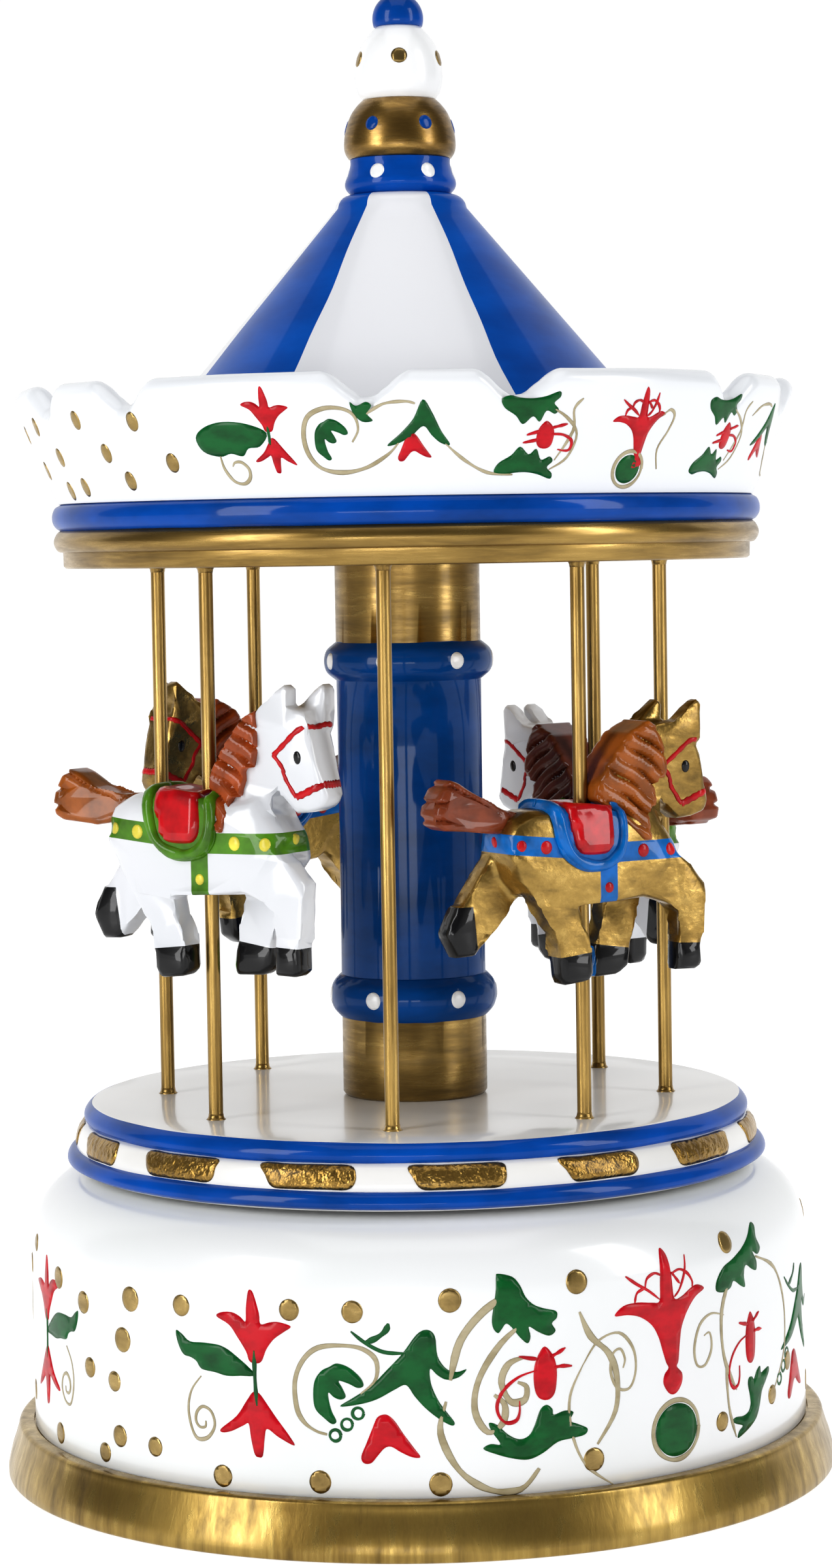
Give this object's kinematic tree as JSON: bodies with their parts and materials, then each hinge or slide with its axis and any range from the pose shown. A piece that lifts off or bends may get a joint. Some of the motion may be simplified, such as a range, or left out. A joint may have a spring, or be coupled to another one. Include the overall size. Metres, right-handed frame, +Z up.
{
  "type": "carousel music box",
  "caption": "Wind-up music box shaped as a merry-go-round: a turning platform with poles, horses, column and scalloped canopy on a round drum base.",
  "frame": {"origin": "centre of the underside of the plinth, on the turning axis", "axes": "+Z up along the turning axis, -Y towards the front of the painted base"},
  "size_m": [0.12, 0.12, 0.2116],
  "materials": {
    "gold_paint": "gold paint on turned wood, brushed",
    "white_enamel": "white enamel on turned wood, glossy",
    "blue_paint": "blue enamel on turned wood, glossy",
    "roof_paint": "white and blue enamel panels on turned wood",
    "bare_wood": "plain beech",
    "horse_white": "white enamel on carved wood",
    "horse_gold": "gold paint on carved wood",
    "hair_paint": "brown paint on carved wood",
    "brass": "satin brass",
    "plated_steel": "nickel-plated steel",
    "comb_steel": "blued spring steel"
  },
  "bodies": {
    "base": {"plinth_ring": "gold_paint", "base_body": "white_enamel", "bottom_board": "bare_wood", "board_screws": "plated_steel", "spindle_bush": "brass", "bedplate": "brass", "bed_screws": "plated_steel", "inner_bracket": "brass", "outer_bracket": "brass", "governor_bracket": "brass", "fan_frame": "brass", "comb_block": "brass", "comb": "comb_steel", "comb_screws": "plated_steel"},
    "carousel": {"platform": "white_enamel", "column": "blue_paint", "canopy_disc": "gold_paint", "crown": "white_enamel", "roof_cone": "roof_paint", "finial_collar": "blue_paint", "finial_dome": "gold_paint", "finial_egg": "white_enamel", "finial_ball": "blue_paint", "finial_dowel": "bare_wood", "spindle": "plated_steel", "spindle_nut": "plated_steel", "spring_barrel": "brass", "crown_wheel": "brass", "mainspring": "comb_steel", "pole_1": "gold_paint", "pole_2": "gold_paint", "pole_3": "gold_paint", "pole_4": "gold_paint", "pole_5": "gold_paint", "pole_6": "gold_paint", "pole_7": "gold_paint", "pole_8": "gold_paint", "horse_1": "horse_white", "horse_2": "horse_gold", "horse_3": "horse_white", "horse_4": "horse_gold", "horse_tail_1": "hair_paint", "horse_tail_2": "hair_paint", "horse_tail_3": "hair_paint", "horse_tail_4": "hair_paint"},
    "key": {"winding_key": "plated_steel", "winding_arbor": "plated_steel"},
    "cylinder": {"music_cylinder": "brass", "cylinder_shaft": "plated_steel", "cylinder_pinion": "brass", "end_wheel": "brass"},
    "governor": {"governor_shaft": "plated_steel", "governor_pinion": "brass", "worm_wheel": "brass"},
    "fan": {"fan": "brass", "worm": "plated_steel"}
  },
  "joints": [
    {"name": "carousel_spin", "type": "hinge", "parent": "base", "child": "carousel", "pos_m": [0, 0, 0.044], "axis": [0, 0, 1], "continuous": true},
    {"name": "key_wind", "type": "hinge", "parent": "base", "child": "key", "pos_m": [0, 0, 0.012], "axis": [0, 0, 1], "continuous": true},
    {"name": "cylinder_spin", "type": "hinge", "parent": "base", "child": "cylinder", "pos_m": [0.026, 0, 0.025], "axis": [1, 0, 0], "continuous": true},
    {"name": "governor_spin", "type": "hinge", "parent": "base", "child": "governor", "pos_m": [0.033, 0.0112, 0.025], "axis": [1, 0, 0], "continuous": true},
    {"name": "fan_spin", "type": "hinge", "parent": "base", "child": "fan", "pos_m": [0.03, 0.01575, 0.025], "axis": [0, 0, 1], "continuous": true}
  ],
  "couplings": [
    {"joint": "cylinder_spin", "follows": "carousel_spin", "ratio": 2},
    {"joint": "governor_spin", "follows": "carousel_spin", "ratio": -6},
    {"joint": "fan_spin", "follows": "carousel_spin", "ratio": 96}
  ]
}
